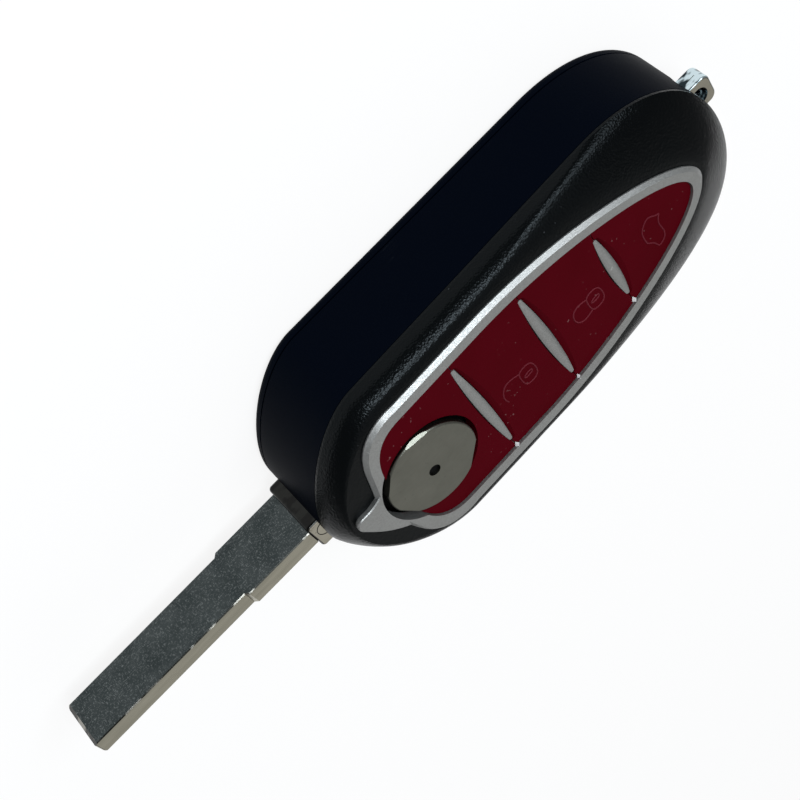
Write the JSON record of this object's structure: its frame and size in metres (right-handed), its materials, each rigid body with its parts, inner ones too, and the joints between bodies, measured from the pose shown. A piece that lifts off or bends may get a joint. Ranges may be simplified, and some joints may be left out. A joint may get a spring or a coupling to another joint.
{
  "type": "flip key fob shell",
  "caption": "Flip key shell with a folding blank blade, a round release button, red button pad with silver trim and a key ring lug.",
  "frame": {"origin": "centre of the flat back of the body", "axes": "+X towards the key ring lug, +Y towards the side without the blade slot, +Z out of the button face"},
  "size_m": [0.1189, 0.0344, 0.0197],
  "materials": {
    "grained_black": "fine grain",
    "satin_black": "satin",
    "inner_black": "matte",
    "silver_trim": "satin silver",
    "red_rubber": "matte",
    "button_steel": "satin",
    "blade_nickel": "milled, worn edges",
    "collar_chrome": "polished",
    "lug_chrome": "polished",
    "spring_steel": "drawn wire",
    "screw_steel": "plain"
  },
  "bodies": {
    "shell": {"front_cover": "grained_black", "trim_frame": "silver_trim", "pad_surround": "red_rubber", "pad_web": "red_rubber", "circuit_tray": "inner_black", "middle_case": "satin_black", "back_cover": "satin_black", "battery_clip": "spring_steel", "case_screws": "screw_steel", "hub_washer": "spring_steel", "hub_screw": "screw_steel", "key_ring_lug": "lug_chrome", "lug_pin": "screw_steel", "release_spring": "spring_steel"},
    "flip": {"blade": "blade_nickel", "blade_holder": "collar_chrome", "blade_pin": "collar_chrome", "flip_spring": "spring_steel"},
    "release": {"release_cap": "button_steel", "release_plunger": "inner_black"},
    "unlock": {"unlock_key": "red_rubber"},
    "lock": {"lock_key": "red_rubber"},
    "boot": {"boot_key": "red_rubber"}
  },
  "joints": [
    {"name": "flip_hinge", "type": "hinge", "parent": "shell", "child": "flip", "pos_m": [-0.0244, -0.0073, 0.0084], "axis": [0, 0, 1], "range_deg": [0, 180], "stiffness_Nm_per_rad": 0.01},
    {"name": "release_press", "type": "slide", "parent": "shell", "child": "release", "axis": [0, 0, -1], "range_m": [0, 0.001], "stiffness_N_per_m": 400, "deforming": ["release_spring"]},
    {"name": "unlock_press", "type": "slide", "parent": "shell", "child": "unlock", "axis": [-0.0366, 0, -0.9993], "range_m": [0, 0.00035], "stiffness_N_per_m": 1500},
    {"name": "lock_press", "type": "slide", "parent": "shell", "child": "lock", "axis": [-0.0366, 0, -0.9993], "range_m": [0, 0.00035], "stiffness_N_per_m": 1500},
    {"name": "boot_press", "type": "slide", "parent": "shell", "child": "boot", "axis": [-0.0366, 0, -0.9993], "range_m": [0, 0.00035], "stiffness_N_per_m": 1500}
  ]
}
